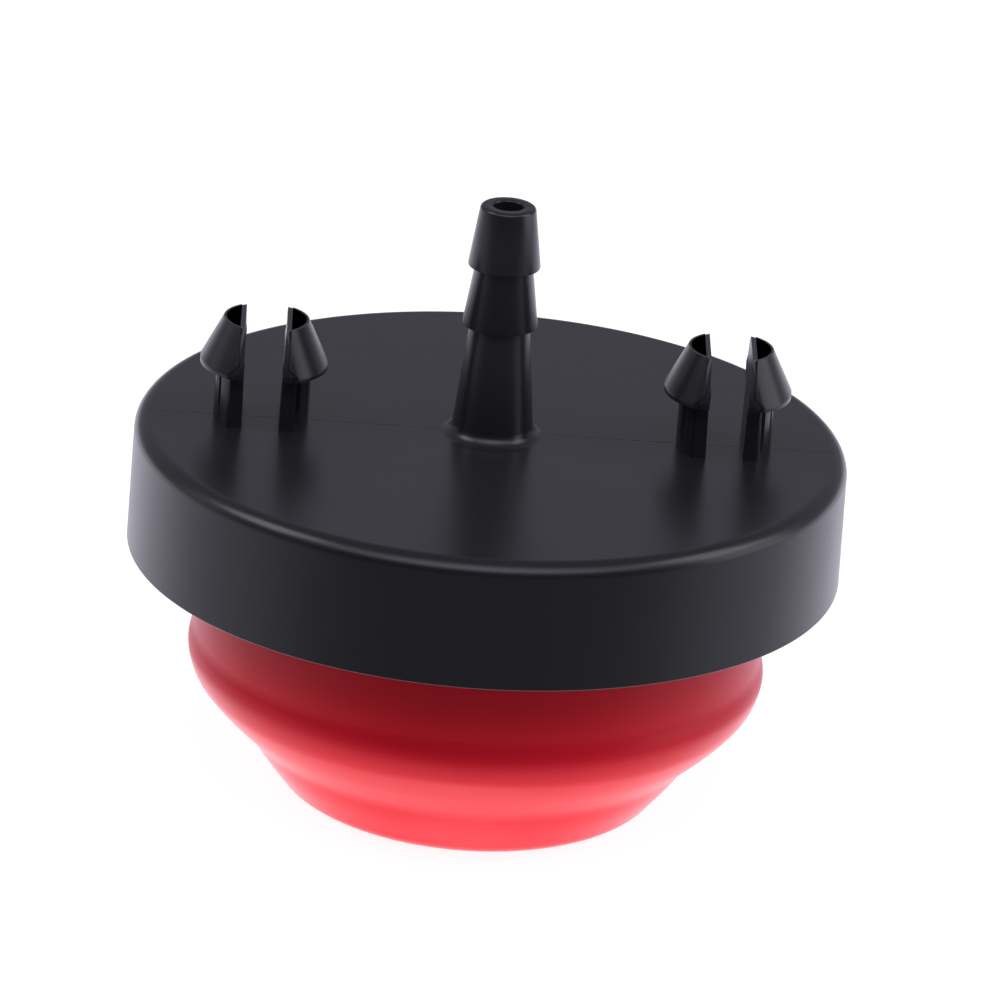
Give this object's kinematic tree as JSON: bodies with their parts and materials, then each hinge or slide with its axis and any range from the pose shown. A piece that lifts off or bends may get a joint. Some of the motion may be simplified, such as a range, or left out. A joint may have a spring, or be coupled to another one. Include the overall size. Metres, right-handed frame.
{
  "type": "primer bulb",
  "caption": "Hand primer for a small engine: a rubber bulb on a round snap-in base with split posts and a barbed hose nipple.",
  "frame": {"origin": "centre of the bulb's pressed face, which it stands on", "axes": "+Z along the hose nipple, away from the bulb; X through the two snap posts; Y completes the frame"},
  "size_m": [0.0572, 0.0572, 0.0499],
  "materials": {
    "black_plastic": "satin moulded black plastic, soft mirror streaks, faint parting line",
    "red_rubber": "smooth satin red rubber, opaque"
  },
  "bodies": {
    "root": {"base": "black_plastic", "bulb": "red_rubber"}
  },
  "joints": []
}
